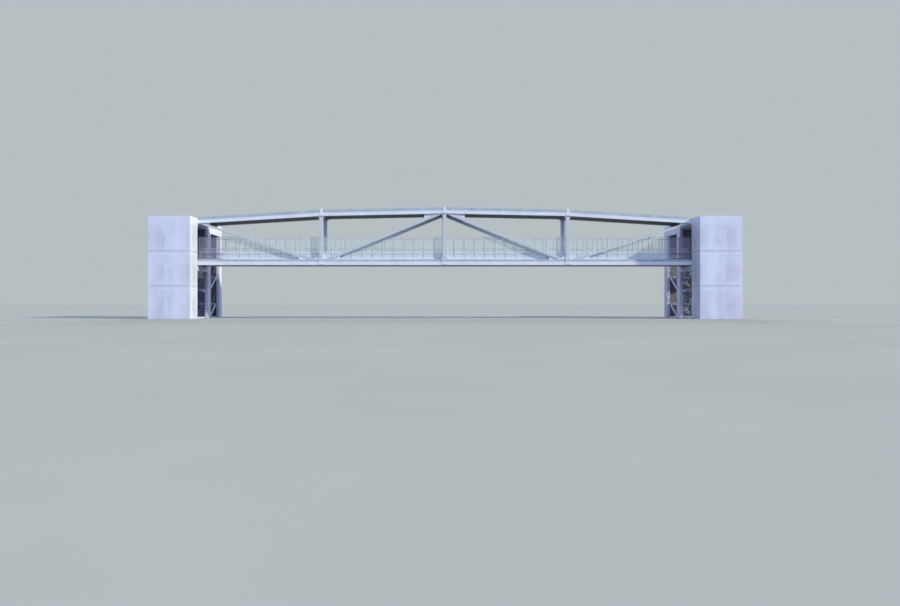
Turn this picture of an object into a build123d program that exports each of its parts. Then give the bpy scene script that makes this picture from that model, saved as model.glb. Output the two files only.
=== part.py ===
from build123d import *
import os

os.makedirs("parts", exist_ok=True)

# A half-size model: every real length in millimetres is multiplied by this.
MODEL_SCALE = 1 / 2

# Axes: X runs along the bridge, Y runs back across it, Z is up from the ground.
# Towers, one at each end of the span
clear_span = 51_000 * MODEL_SCALE
tower_width = 4_250 * MODEL_SCALE
tower_depth = 11_000 * MODEL_SCALE
tower_height = 10_330 * MODEL_SCALE
wall = 300 * MODEL_SCALE
arris = 20 * MODEL_SCALE
roof_thickness = 280 * MODEL_SCALE
ground_slab = 120 * MODEL_SCALE

# Openings in a tower's side walls, set out back from its front face
deck_bay = (2_300 * MODEL_SCALE, 5_700 * MODEL_SCALE)
stair_bay = (6_800 * MODEL_SCALE, 9_900 * MODEL_SCALE)
deck_bay_head = 9_600 * MODEL_SCALE
stair_bay_head = 9_200 * MODEL_SCALE
door_head = 2_800 * MODEL_SCALE

# Walkway
deck_level = 6_120 * MODEL_SCALE
deck_thickness = 240 * MODEL_SCALE
floor_beam_depth = 320 * MODEL_SCALE
floor_beam_width = 200 * MODEL_SCALE
floor_beams_per_panel = 4
movement_gap = 50 * MODEL_SCALE

# Chords: heights are to the underside of the top chord
truss_spacing = 2_860 * MODEL_SCALE
chord_width = 400 * MODEL_SCALE
chord_bevel = 50 * MODEL_SCALE
top_chord_depth = 650 * MODEL_SCALE
top_bevel_height = 320 * MODEL_SCALE
bottom_chord_depth = 590 * MODEL_SCALE
bottom_bevel_height = 240 * MODEL_SCALE
chord_end_height = 9_830 * MODEL_SCALE
chord_quarter_height = 10_600 * MODEL_SCALE
chord_crown_height = 10_860 * MODEL_SCALE
seat_length = 550 * MODEL_SCALE

# Web members: their centre lines meet at these heights, inside the chords
crown_joint = 11_050 * MODEL_SCALE
foot_joint = 5_850 * MODEL_SCALE
end_joint = 9_950 * MODEL_SCALE
vertical_width = 380 * MODEL_SCALE
vertical_thickness = 300 * MODEL_SCALE
flare = 250 * MODEL_SCALE
flare_lip = 20 * MODEL_SCALE
diagonal_depth = 290 * MODEL_SCALE
diagonal_thickness = 240 * MODEL_SCALE
tie_depth = 210 * MODEL_SCALE
tie_thickness = 180 * MODEL_SCALE

# Corner plates, collars and cross struts
plate_thickness = 120 * MODEL_SCALE
crown_plate_reach = 2_100 * MODEL_SCALE
foot_plate_reach = 1_900 * MODEL_SCALE
tie_plate_reach = 2_300 * MODEL_SCALE
end_plate_reach = 1_150 * MODEL_SCALE
corner_plate_height = 750 * MODEL_SCALE
corner_plate_reach = 1_100 * MODEL_SCALE
collar_foot = 500 * MODEL_SCALE
collar_head = 160 * MODEL_SCALE
collar_skin = 25 * MODEL_SCALE
collar_rise = 120 * MODEL_SCALE
cheek_length = 600 * MODEL_SCALE
cheek_drop = 70 * MODEL_SCALE
strut_width = 300 * MODEL_SCALE
strut_depth = 300 * MODEL_SCALE
haunch_height = 800 * MODEL_SCALE
haunch_reach = 550 * MODEL_SCALE
canopy_thickness = 100 * MODEL_SCALE
canopy_recess = 20 * MODEL_SCALE

# Bearings
bearing_height = 80 * MODEL_SCALE
bearing_size = 350 * MODEL_SCALE
bearing_beam_depth = 500 * MODEL_SCALE

# Side screens
screen_bays = 48
screen_height = 2_340 * MODEL_SCALE
screen_setback = 20 * MODEL_SCALE
post_width = 40 * MODEL_SCALE
post_depth = 80 * MODEL_SCALE
mid_rail_height = 60 * MODEL_SCALE
top_rail_height = 30 * MODEL_SCALE
low_rail_height = 150 * MODEL_SCALE
mid_rail_rise = 620 * MODEL_SCALE
glass_thickness = 20 * MODEL_SCALE
handrail_rise = 1_130 * MODEL_SCALE
handrail_diameter = 50 * MODEL_SCALE
handrail_standoff = 60 * MODEL_SCALE
bracket_size = 24 * MODEL_SCALE

# Stairs: four equal flights, turned back on each other, in two lanes
risers = 9
going = 275 * MODEL_SCALE
tread_thickness = 60 * MODEL_SCALE
nosing = 20 * MODEL_SCALE
flight_front = 7_500 * MODEL_SCALE
front_landing_edge = 5_100 * MODEL_SCALE
landing_thickness = 200 * MODEL_SCALE
lane_width = 1_550 * MODEL_SCALE
stringer_thickness = 60 * MODEL_SCALE
stringer_depth = 270 * MODEL_SCALE
stringer_drop = 200 * MODEL_SCALE
stringer_bend = 1_500 * MODEL_SCALE
guard_height = 1_050 * MODEL_SCALE
guard_rails = 2
guard_bar = 45 * MODEL_SCALE
guard_bend = 80 * MODEL_SCALE
guard_post_pitch = 1_400 * MODEL_SCALE

# Sizes that follow from those above
half_span = clear_span / 2
panel = half_span / 2
joint_lines = (-panel, 0, panel)
front_face = -tower_depth / 2
interior = (wall, tower_width - wall)
inside_depth = (wall, tower_depth - wall)
bridge_line = front_face + sum(deck_bay) / 2
truss_lines = {
    "front": bridge_line - truss_spacing / 2,
    "rear": bridge_line + truss_spacing / 2,
}
outward = {"front": -1, "rear": 1}
walk_width = truss_spacing - chord_width
chord_top_width = chord_width - 2 * chord_bevel
bottom_chord_base = deck_level - bottom_chord_depth
deck_underside = deck_level - deck_thickness
shoulder = deck_level - bottom_bevel_height
seat_reach = half_span + seat_length
floor_notch = seat_length + 3 * movement_gap
bearing_beam_top = bottom_chord_base - bearing_height
flight_run = (risers - 1) * going
flight_back = flight_front + flight_run
flight_rise = (deck_level - ground_slab) / 4
riser = flight_rise / risers
pitch = riser / going
levels = [ground_slab + flight_rise * step for step in range(5)]
inner_lane = interior[0]
outer_lane = interior[1] - lane_width
bay_width = clear_span / screen_bays


def underside(x):
    """Height of the top chord's underside at a distance along the bridge."""
    x = abs(x)
    if x < panel:
        return chord_crown_height + (chord_quarter_height - chord_crown_height) * x / panel
    fall = chord_end_height - chord_quarter_height
    return chord_quarter_height + fall * (x - panel) / panel


def diagonal_line(x):
    """Height of a main diagonal's centre line."""
    return crown_joint + (foot_joint - crown_joint) * abs(x) / panel


def tie_line(x):
    """Height of an end tie's centre line."""
    return foot_joint + (end_joint - foot_joint) * (abs(x) - panel) / panel


def slab(side, across, back, up):
    """A box set out from a tower's inner face, its front face and the ground."""
    with Locations((side * (half_span + sum(across) / 2), front_face + sum(back) / 2, sum(up) / 2)):
        Box(across[1] - across[0], back[1] - back[0], up[1] - up[0])


def wall_face(back, up, mode=Mode.ADD):
    """A rectangle in a tower's side wall, set out from the front face and the ground."""
    with Locations((front_face + sum(back) / 2, sum(up) / 2)):
        Rectangle(back[1] - back[0], up[1] - up[0], mode=mode)


def chord_section(depth, bevel_height):
    """A chord's section: upright sides, then two faces leaning in to a flat top."""
    with BuildLine() as outline:
        Polyline(
            (-chord_width / 2, 0),
            (chord_width / 2, 0),
            (chord_width / 2, depth - bevel_height),
            (chord_top_width / 2, depth),
            (-chord_top_width / 2, depth),
            (-chord_width / 2, depth - bevel_height),
            close=True,
        )
    make_face(outline.edges())


def collar_section():
    """A section that wraps the top chord's by a skin and rises over it."""
    half, top = chord_width / 2 + collar_skin, top_chord_depth + collar_rise
    shoulder_height = top_chord_depth - top_bevel_height
    with BuildLine() as outline:
        Polyline(
            (-half, 0),
            (half, 0),
            (half, shoulder_height),
            (half - chord_bevel, top),
            (chord_bevel - half, top),
            (-half, shoulder_height),
            close=True,
        )
    make_face(outline.edges())


def tapered_face(x, base, top):
    """A collar's outline seen from the side of the bridge."""
    foot, head = collar_foot / 2, collar_head / 2
    with BuildLine() as outline:
        Polyline((x - foot, base), (x + foot, base), (x + head, top), (x - head, top), close=True)
    make_face(outline.edges())


def canopy_face(start, end):
    """One canopy panel seen from the side of the bridge."""
    low = [underside(x) + canopy_recess for x in (start, end)]
    high = [z + canopy_thickness for z in low]
    with BuildLine() as outline:
        Polyline((start, low[0]), (end, low[1]), (end, high[1]), (start, high[0]), close=True)
    make_face(outline.edges())


def flared_upright(x):
    """A truss vertical's outline, flaring into both chords."""
    half, wide = vertical_width / 2, vertical_width / 2 + flare
    neck = deck_level + flare + flare_lip
    neck_top = min(underside(x - wide), underside(x + wide)) - flare - flare_lip
    with BuildLine() as outline:
        for side in (-1, 1):
            edge = x + side * wide
            head = underside(edge)
            Polyline((x, deck_level), (edge, deck_level), (edge, deck_level + flare_lip))
            TangentArc((x + side * half, neck), (edge, deck_level + flare_lip), tangent=(0, -1))
            Line((x + side * half, neck), (x + side * half, neck_top))
            TangentArc((x + side * half, neck_top), (edge, head - flare_lip), tangent=(0, 1))
            Polyline((edge, head - flare_lip), (edge, head), (x, underside(x)))
    make_face(outline.edges())


def inside_chord(x):
    """A height within the top chord, clear of its underside."""
    return underside(x) + top_bevel_height / 2


def wedge_plate(way, start, end, chord_height, member_line):
    """A plate in the sharp corner between a chord and a sloping member."""
    with BuildLine() as outline:
        Polyline(
            (way * start, chord_height(start)),
            (way * end, chord_height(end)),
            (way * end, member_line(end)),
            (way * start, member_line(start)),
            close=True,
        )
    make_face(outline.edges())


def corner_plate(way, toward, member_line):
    """A plate with a hollow curved edge, between a vertical's foot and a sloping member."""
    near, far = panel + toward * vertical_width / 2, panel + toward * corner_plate_reach
    top = deck_level + corner_plate_height
    low = member_line(far)
    bow = (panel + toward * 0.42 * corner_plate_reach, low + 0.2 * (top - low))
    with BuildLine() as outline:
        Polyline(
            (way * far, low),
            (way * far, shoulder),
            (way * panel, shoulder),
            (way * panel, top),
            (way * near, top),
        )
        ThreePointArc((way * near, top), (way * bow[0], bow[1]), (way * far, low))
    make_face(outline.edges())


def climb_points(step, rise, follow):
    """Points of a line at a set height over a flight, and over its landings if it follows them."""
    heading = 1 if step % 2 == 0 else -1
    start, end = (flight_front, flight_back) if heading > 0 else (flight_back, flight_front)
    foot = (start - heading * going, levels[step] + rise)
    head = (end, levels[step + 1] + rise)
    beyond = (flight_run / 2, pitch * flight_run / 2)
    back_edge, front_edge = tower_depth - wall, front_landing_edge
    points = []
    if follow and step > 0:
        points.append((back_edge if heading < 0 else front_edge, foot[1]))
        points.append(foot)
    else:
        points.append((foot[0] - heading * beyond[0], foot[1] - beyond[1]))
    if follow and step < 3:
        points.append(head)
        points.append((back_edge if heading > 0 else front_edge, head[1]))
    else:
        points.append((head[0] + heading * beyond[0], head[1] + beyond[1]))
    return [(front_face + v, z) for v, z in points]


def climb_limits(step, follow):
    """How far back a flight's stringer or rail starts and ends."""
    low = front_landing_edge if follow and step in (1, 2) else flight_front
    high = tower_depth - wall if follow else flight_back
    return (low, high)


# Towers
for name, side in (("left", -1), ("right", 1)):
    # Front and rear walls, with small chamfers down their outer corners
    for place, back in (("front", (0, wall)), ("rear", (tower_depth - wall, tower_depth))):
        with BuildPart() as end_wall:
            slab(side, (0, tower_width), back, (0, tower_height))
            corners = end_wall.edges().filter_by(Axis.Z).group_by(Axis.Y)
            chamfer(corners[0 if place == "front" else -1], arris)
        end_wall.part.label = f"{name}_{place}_wall"
        export_step(end_wall.part, f"parts/{name}_{place}_wall.step")

    # The inner wall opens full height where the bridge comes in and beside the stairs.
    with BuildPart() as inner_wall:
        with BuildSketch(Plane.YZ.offset(side * (half_span + wall / 2))):
            wall_face(inside_depth, (0, tower_height))
            wall_face(deck_bay, (0, deck_bay_head), Mode.SUBTRACT)
            wall_face(stair_bay, (0, stair_bay_head), Mode.SUBTRACT)
        extrude(amount=wall / 2, both=True)
    inner_wall.part.label = f"{name}_inner_wall"
    export_step(inner_wall.part, f"parts/{name}_inner_wall.step")

    # The outer wall has the doorway from the street, and the same opening to the stairs.
    with BuildPart() as outer_wall:
        with BuildSketch(Plane.YZ.offset(side * (half_span + tower_width - wall / 2))):
            wall_face(inside_depth, (0, tower_height))
            wall_face(deck_bay, (0, door_head), Mode.SUBTRACT)
            wall_face(stair_bay, (0, stair_bay_head), Mode.SUBTRACT)
        extrude(amount=wall / 2, both=True)
    outer_wall.part.label = f"{name}_outer_wall"
    export_step(outer_wall.part, f"parts/{name}_outer_wall.step")

    with BuildPart() as roof:
        slab(side, interior, inside_depth, (tower_height - roof_thickness, tower_height))
    roof.part.label = f"{name}_roof_slab"
    export_step(roof.part, f"parts/{name}_roof_slab.step")

    # The upper floor is notched where the bridge's ends come in between the piers.
    with BuildPart() as floors:
        slab(side, interior, inside_depth, (0, ground_slab))
        with BuildSketch(Plane.XY.offset(deck_underside)):
            with Locations((side * (half_span + sum(interior) / 2), front_face + (wall + flight_front) / 2)):
                Rectangle(interior[1] - interior[0], flight_front - wall)
            notch_middle = half_span + (wall + floor_notch) / 2
            with Locations((side * notch_middle, bridge_line)):
                Rectangle(floor_notch - wall, deck_bay[1] - deck_bay[0], mode=Mode.SUBTRACT)
        extrude(amount=deck_thickness)
    floors.part.label = f"{name}_floor_slabs"
    export_step(floors.part, f"parts/{name}_floor_slabs.step")

    with BuildPart() as bearing_beam:
        slab(side, (0, floor_notch), deck_bay, (bearing_beam_top - bearing_beam_depth, bearing_beam_top))
    bearing_beam.part.label = f"{name}_bearing_beam"
    export_step(bearing_beam.part, f"parts/{name}_bearing_beam.step")

    # Landings hang between the wall stringers of the two lanes.
    landing_width = (interior[0] + stringer_thickness, interior[1] - stringer_thickness)
    landing_runs = (
        (flight_back, tower_depth - wall),
        (front_landing_edge, flight_front),
        (flight_back, tower_depth - wall),
    )
    with BuildPart() as landings:
        for level, run in zip(levels[1:4], landing_runs):
            slab(side, landing_width, run, (level - landing_thickness, level))
    landings.part.label = f"{name}_stair_landings"
    export_step(landings.part, f"parts/{name}_stair_landings.step")

    tread_spots = []
    for step in range(4):
        heading = 1 if step % 2 == 0 else -1
        start = flight_front if heading > 0 else flight_back
        lane = inner_lane if heading > 0 else outer_lane
        for count in range(1, risers):
            tread_spots.append(
                (
                    side * (half_span + lane + lane_width / 2),
                    front_face + start + heading * ((count - 0.5) * going - nosing / 2),
                    levels[step] + count * riser - tread_thickness / 2,
                )
            )
    with BuildPart() as treads:
        with Locations(*tread_spots):
            Box(lane_width - 2 * stringer_thickness, going + nosing, tread_thickness)
    treads.part.label = f"{name}_stair_treads"
    export_step(treads.part, f"parts/{name}_stair_treads.step")

    # Each flight has a stringer against the wall, which bends level along the landings,
    # and one beside the well, which stops between them. A guard stands on each.
    runs = []
    for step in range(4):
        lane = inner_lane if step % 2 == 0 else outer_lane
        edges = [lane + stringer_thickness / 2, lane + lane_width - stringer_thickness / 2]
        wall_edge, well_edge = edges if step % 2 == 0 else edges[::-1]
        runs.append((step, wall_edge, True))
        runs.append((step, well_edge, False))

    with BuildPart() as stringers:
        for step, edge, follow in runs:
            with BuildSketch(Plane.YZ.offset(side * (half_span + edge))):
                points = climb_points(step, -stringer_drop, follow)
                with BuildLine():
                    if follow:
                        FilletPolyline(*points, radius=stringer_bend)
                    else:
                        Line(*points)
                trace(line_width=stringer_depth)
                wall_face(climb_limits(step, follow), (ground_slab, tower_height), Mode.INTERSECT)
            extrude(amount=stringer_thickness / 2, both=True)
    stringers.part.label = f"{name}_stair_stringers"
    export_step(stringers.part, f"parts/{name}_stair_stringers.step")

    with BuildPart() as guards:
        for step, edge, follow in runs:
            low, high = climb_limits(step, follow)
            with BuildSketch(Plane.YZ.offset(side * (half_span + edge))):
                for rail in range(guard_rails):
                    rise = guard_height * (1 - rail / guard_rails) - guard_bar / 2
                    points = climb_points(step, rise, follow)
                    with BuildLine():
                        if follow:
                            FilletPolyline(*points, radius=guard_bend)
                        else:
                            Line(*points)
                    trace(line_width=guard_bar)
                wall_face((low, high), (ground_slab, levels[step + 1] + guard_height), Mode.INTERSECT)
                spans = max(1, round((high - low) / guard_post_pitch))
                for count in range(spans + 1):
                    v = low + guard_bar / 2 + (high - low - guard_bar) * count / spans
                    along = (v - flight_front if step % 2 == 0 else flight_back - v) + going
                    floor = levels[step] + min(max(along, 0), flight_run + going) * pitch
                    post = (max(floor - stringer_drop, ground_slab), floor + guard_height - guard_bar)
                    wall_face((v - guard_bar / 2, v + guard_bar / 2), post)
            extrude(amount=guard_bar / 2, both=True)
        add(stringers.part, mode=Mode.SUBTRACT)

        # Level guards along the front landing's edge and the upper floor's edge
        level_guards = (
            (landing_width, front_landing_edge + guard_bar, levels[2]),
            ((landing_width[0], outer_lane), flight_front - guard_bar, levels[4]),
        )
        for across, edge, level in level_guards:
            width = across[1] - across[0] - 3 * guard_bar
            middle = side * (half_span + sum(across) / 2)
            with BuildSketch(Plane.XZ.offset(-(front_face + edge))):
                for rail in range(guard_rails):
                    with Locations((middle, level + guard_height * (1 - rail / guard_rails) - guard_bar / 2)):
                        Rectangle(width, guard_bar)
                with Locations((middle, level + guard_height / 2)):
                    with GridLocations(width / 3 - guard_bar / 3, 0, 4, 1):
                        Rectangle(guard_bar, guard_height)
            extrude(amount=guard_bar / 2, both=True)
    guards.part.label = f"{name}_stair_handrails"
    export_step(guards.part, f"parts/{name}_stair_handrails.step")

# Trusses
frames = {}
for name, line in truss_lines.items():
    # The top chord is straight between joints and turns a little at each.
    with BuildPart() as top_chord:
        for x in (-half_span, *joint_lines, half_span):
            with BuildSketch(Plane(origin=(x, line, underside(x)), x_dir=(0, 1, 0), z_dir=(1, 0, 0))):
                chord_section(top_chord_depth, top_bevel_height)
        loft(ruled=True)
    top_chord.part.label = f"{name}_top_chord"
    export_step(top_chord.part, f"parts/{name}_top_chord.step")

    with BuildPart() as bottom_chord:
        chord_end = Plane(origin=(-seat_reach, line, bottom_chord_base), x_dir=(0, 1, 0), z_dir=(1, 0, 0))
        with BuildSketch(chord_end):
            chord_section(bottom_chord_depth, bottom_bevel_height)
        extrude(amount=2 * seat_reach)
    bottom_chord.part.label = f"{name}_bottom_chord"
    export_step(bottom_chord.part, f"parts/{name}_bottom_chord.step")

    with BuildPart() as uprights:
        with BuildSketch(Plane.XZ.offset(-line)):
            for x in joint_lines:
                flared_upright(x)
        extrude(amount=vertical_thickness / 2, both=True)
    uprights.part.label = f"{name}_verticals"
    export_step(uprights.part, f"parts/{name}_verticals.step")

    with BuildPart() as diagonals:
        for way in (-1, 1):
            with BuildSketch(Plane.XZ.offset(-line)):
                with BuildLine():
                    Line((0, crown_joint), (way * panel, foot_joint))
                trace(line_width=diagonal_depth)
            extrude(amount=diagonal_thickness / 2, both=True)
        for other in (top_chord, bottom_chord, uprights):
            add(other.part, mode=Mode.SUBTRACT)
    diagonals.part.label = f"{name}_diagonals"
    export_step(diagonals.part, f"parts/{name}_diagonals.step")
    frames[name] = [top_chord.part, bottom_chord.part, uprights.part, diagonals.part]

# Thin ties run from each tower's head down to the foot of the first vertical.
with BuildPart() as end_ties:
    for line in truss_lines.values():
        with BuildSketch(Plane.XZ.offset(-line)):
            for way in (-1, 1):
                with BuildLine():
                    Line((way * half_span, end_joint), (way * panel, foot_joint))
                trace(line_width=tie_depth)
            Rectangle(clear_span, 3 * tower_height, mode=Mode.INTERSECT)
        extrude(amount=tie_thickness / 2, both=True)
    for members in frames.values():
        for member in members:
            add(member, mode=Mode.SUBTRACT)
end_ties.part.label = "end_ties"
export_step(end_ties.part, "parts/end_ties.step")

# Corner plates: long wedges in the sharp corners, hollow-edged ones beside the verticals
with BuildPart() as gussets:
    for line in truss_lines.values():
        with BuildSketch(Plane.XZ.offset(-line)):
            for way in (-1, 1):
                wedge_plate(way, flare, crown_plate_reach, inside_chord, diagonal_line)
                wedge_plate(way, panel - flare, panel - foot_plate_reach, lambda x: shoulder, diagonal_line)
                wedge_plate(way, panel + flare, panel + tie_plate_reach, lambda x: shoulder, tie_line)
                near, far = half_span - end_plate_reach, half_span
                wedge_plate(way, near, far, inside_chord, tie_line)
                corner_plate(way, -1, diagonal_line)
                corner_plate(way, 1, tie_line)
        extrude(amount=plate_thickness / 2, both=True)
    for members in frames.values():
        for member in members:
            add(member, mode=Mode.SUBTRACT)
    add(end_ties.part, mode=Mode.SUBTRACT)
gussets.part.label = "gussets"
export_step(gussets.part, "parts/gussets.step")

# Collars at the joints: one wraps the top chord and narrows to a peak over it, and a
# cheek plate stands outside the bottom chord.
with BuildPart() as collars:
    for line in truss_lines.values():
        for x in joint_lines:
            wrap = Plane(origin=(x - collar_foot / 2, line, underside(x)), x_dir=(0, 1, 0), z_dir=(1, 0, 0))
            with BuildSketch(wrap):
                collar_section()
            extrude(amount=collar_foot)
    with BuildSketch(Plane.XZ.offset(-bridge_line)):
        for x in joint_lines:
            tapered_face(x, underside(x) + canopy_recess, underside(x) + top_chord_depth + collar_rise)
    extrude(amount=truss_spacing, both=True, mode=Mode.INTERSECT)
    for name, line in truss_lines.items():
        cheek_height = bottom_chord_depth - cheek_drop
        cheek = line + outward[name] * (chord_width / 2 + collar_skin - chord_width / 8)
        with Locations(*[(x, cheek, deck_level - cheek_height / 2) for x in joint_lines]):
            Box(cheek_length, chord_width / 4, cheek_height)
    for members in frames.values():
        add(members[0], mode=Mode.SUBTRACT)
        add(members[1], mode=Mode.SUBTRACT)
collars.part.label = "node_collars"
export_step(collars.part, "parts/node_collars.step")

# Struts tie the two top chords together, with hollow-edged haunches down the verticals.
with BuildPart() as struts:
    for x in joint_lines:
        low = underside(x)
        chord_face, upright_face = walk_width / 2, (truss_spacing - vertical_thickness) / 2
        with BuildSketch(Plane.YZ.offset(x - strut_width / 2)):
            with BuildLine():
                for way in (-1, 1):
                    haunch_top = (bridge_line + way * (upright_face - haunch_reach), low)
                    haunch_foot = (bridge_line + way * upright_face, low - haunch_height)
                    bow = (haunch_foot[0] - way * 0.36 * haunch_reach, low - 0.36 * haunch_height)
                    Polyline(
                        (bridge_line, low + strut_depth),
                        (bridge_line + way * chord_face, low + strut_depth),
                        (bridge_line + way * chord_face, low),
                        (bridge_line + way * upright_face, low),
                        haunch_foot,
                    )
                    ThreePointArc(haunch_foot, bow, haunch_top)
                    Line(haunch_top, (bridge_line, low))
            make_face()
        extrude(amount=strut_width)
    for members in frames.values():
        add(members[0], mode=Mode.SUBTRACT)
        add(members[2], mode=Mode.SUBTRACT)
    add(collars.part, mode=Mode.SUBTRACT)
struts.part.label = "portal_struts"
export_step(struts.part, "parts/portal_struts.step")

# A thin canopy roofs the walkway in four panels, between the struts and the chords.
canopy_edges = [-half_span]
for x in joint_lines:
    canopy_edges += [x - strut_width / 2, x + strut_width / 2]
canopy_edges.append(half_span)
with BuildPart() as canopy:
    with BuildSketch(Plane.XZ.offset(-bridge_line)):
        for start, end in zip(canopy_edges[::2], canopy_edges[1::2]):
            canopy_face(start, end)
    extrude(amount=walk_width / 2, both=True)
    add(collars.part, mode=Mode.SUBTRACT)
canopy.part.label = "canopy"
export_step(canopy.part, "parts/canopy.step")

# Walkway floor between the bottom chords, carried on cross beams
beam_pitch = panel / floor_beams_per_panel
with BuildPart() as floor_beams:
    with Locations((0, bridge_line, deck_underside - floor_beam_depth / 2)):
        with GridLocations(beam_pitch, 0, 4 * floor_beams_per_panel + 1, 1):
            Box(floor_beam_width, walk_width, floor_beam_depth)
floor_beams.part.label = "floor_beams"
export_step(floor_beams.part, "parts/floor_beams.step")

with BuildPart() as deck:
    with BuildSketch(Plane.XY.offset(deck_underside)):
        with Locations((0, bridge_line)):
            Rectangle(2 * seat_reach, walk_width)
    extrude(amount=deck_thickness)
deck.part.label = "deck_slab"
export_step(deck.part, "parts/deck_slab.step")

with BuildPart() as bearings:
    with Locations((0, bridge_line, bearing_beam_top + bearing_height / 2)):
        with GridLocations(2 * half_span + seat_length, truss_spacing, 2, 2):
            Box(bearing_size, bearing_size, bearing_height)
bearings.part.label = "bearings"
export_step(bearings.part, "parts/bearings.step")

# Side screens: a frame with a low and a high light in each bay, filled by a panel and a pane
mid_rail_top = mid_rail_rise + mid_rail_height
light_width = bay_width - post_width
low_light = mid_rail_rise - low_rail_height
high_light = screen_height - top_rail_height - mid_rail_top
for name, line in truss_lines.items():
    screen_line = line - outward[name] * (chord_width / 2 + screen_setback + post_depth / 2)

    with BuildPart() as frame:
        with BuildSketch(Plane.XZ.offset(-screen_line)):
            with Locations((0, deck_level + screen_height / 2)):
                Rectangle(clear_span + post_width, screen_height)
            with Locations((0, deck_level + low_rail_height + low_light / 2)):
                with GridLocations(bay_width, 0, screen_bays, 1):
                    Rectangle(light_width, low_light, mode=Mode.SUBTRACT)
            with Locations((0, deck_level + mid_rail_top + high_light / 2)):
                with GridLocations(bay_width, 0, screen_bays, 1):
                    Rectangle(light_width, high_light, mode=Mode.SUBTRACT)
        extrude(amount=post_depth / 2, both=True)
    frame.part.label = f"{name}_screen_frame"
    export_step(frame.part, f"parts/{name}_screen_frame.step")

    with BuildPart() as glass:
        with BuildSketch(Plane.XZ.offset(-screen_line)):
            with Locations((0, deck_level + mid_rail_top + high_light / 2)):
                with GridLocations(bay_width, 0, screen_bays, 1):
                    Rectangle(light_width, high_light)
        extrude(amount=glass_thickness / 2, both=True)
    glass.part.label = f"{name}_screen_glass"
    export_step(glass.part, f"parts/{name}_screen_glass.step")

    with BuildPart() as panels:
        with BuildSketch(Plane.XZ.offset(-screen_line)):
            with Locations((0, deck_level + low_rail_height + low_light / 2)):
                with GridLocations(bay_width, 0, screen_bays, 1):
                    Rectangle(light_width, low_light)
        extrude(amount=glass_thickness / 2, both=True)
    panels.part.label = f"{name}_low_panels"
    export_step(panels.part, f"parts/{name}_low_panels.step")

# Handrails along both sides of the walkway, on a bracket at every fourth post
with BuildPart() as handrails:
    for name, line in truss_lines.items():
        inward = -outward[name]
        post_face = line + inward * (chord_width / 2 + screen_setback + post_depth)
        rail_line = post_face + inward * (handrail_standoff + handrail_diameter / 2)
        rail_height_over_ground = deck_level + handrail_rise
        with BuildSketch(Plane(origin=(-half_span, rail_line, rail_height_over_ground), z_dir=(1, 0, 0))):
            Circle(handrail_diameter / 2)
        extrude(amount=clear_span)
        with Locations((0, (post_face + rail_line) / 2, rail_height_over_ground)):
            with GridLocations(4 * bay_width, 0, screen_bays // 4, 1):
                Box(bracket_size, abs(rail_line - post_face), bracket_size)
handrails.part.label = "walkway_handrails"
export_step(handrails.part, "parts/walkway_handrails.step")
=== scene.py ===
import math
from itertools import groupby

import bmesh
import bpy
from bpy.props import FloatProperty, FloatVectorProperty, PointerProperty
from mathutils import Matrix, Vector


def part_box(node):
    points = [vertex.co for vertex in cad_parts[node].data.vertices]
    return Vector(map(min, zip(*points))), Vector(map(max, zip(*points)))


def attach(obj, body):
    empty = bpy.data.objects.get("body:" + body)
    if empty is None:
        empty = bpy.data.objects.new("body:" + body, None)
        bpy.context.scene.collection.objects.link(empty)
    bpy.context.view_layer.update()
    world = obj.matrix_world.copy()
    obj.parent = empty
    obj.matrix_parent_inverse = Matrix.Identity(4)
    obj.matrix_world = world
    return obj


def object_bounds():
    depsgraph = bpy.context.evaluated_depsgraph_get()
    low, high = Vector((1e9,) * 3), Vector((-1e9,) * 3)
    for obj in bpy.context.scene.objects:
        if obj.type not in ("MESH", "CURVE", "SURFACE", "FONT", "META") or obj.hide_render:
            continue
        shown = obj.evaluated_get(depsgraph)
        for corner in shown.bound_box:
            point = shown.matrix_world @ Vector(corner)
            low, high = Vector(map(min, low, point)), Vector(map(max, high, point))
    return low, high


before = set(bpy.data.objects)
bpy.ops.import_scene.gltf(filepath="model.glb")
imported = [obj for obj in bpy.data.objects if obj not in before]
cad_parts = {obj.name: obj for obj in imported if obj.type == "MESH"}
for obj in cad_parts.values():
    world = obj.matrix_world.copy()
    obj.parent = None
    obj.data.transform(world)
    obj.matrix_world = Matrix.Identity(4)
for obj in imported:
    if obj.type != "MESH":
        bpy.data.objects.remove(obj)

bl_info = {
    "name": "Pedestrian bridge",
    "version": (1, 0, 0),
    "blender": (4, 5, 0),
    "location": "3D View > Sidebar > Bridge",
    "description": "Finishes for a truss footbridge between two concrete stair towers",
    "category": "Object",
}

CAD_LOW, CAD_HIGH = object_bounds()
TOWERS = ("left", "right")
TRUSSES = ("front", "rear")
TOWER_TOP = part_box("left_front_wall")[1].z
WALKWAY_LINE = sum(corner.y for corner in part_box("deck_slab")) / 2
PANELS_LOW, PANELS_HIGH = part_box("front_low_panels")
PANES_LOW, PANES_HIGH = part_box("front_screen_glass")

# Over how many metres one finish gives way to the next at a sharp edge
SHARP = 0.002

# The screens look different in their last bays: how far from their ends this starts and is complete,
# and what it leaves of the glass's and the low panels' cover and of the metal's brightness
CHANGE_STARTS, CHANGE_COMPLETE = 1.44, 0.84
END_GLASS, END_PANEL, END_METAL = 0.75, 0.25, 0.34

# Painted light: how many times brighter the rear screens' posts and beads are than the front ones',
# against the canopy's shade on them
REAR_POST_LIGHT, REAR_BEAD_LIGHT = 1.36, 1.3

# The bottom chord's face leans back above this share of its height.
CHORD_LEANS = 0.59

# Columns that the forms left along each face of a tower: place and half width in shares of the tower's
# width, strength, and for the clean ones how much paler they are. Places count from the outer corner,
# and on the sides from the nearer end.
STAINED_COLUMNS = ((0.27, 0.22, 0.34), (0.335, 0.04, 0.42), (0.98, 0.16, 0.34), (0.54, 0.05, 0.14))
CLEAN_COLUMNS = ((0.70, 0.17, 0.75, 1.10), (0.655, 0.035, 0.40, 1.14))

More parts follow.
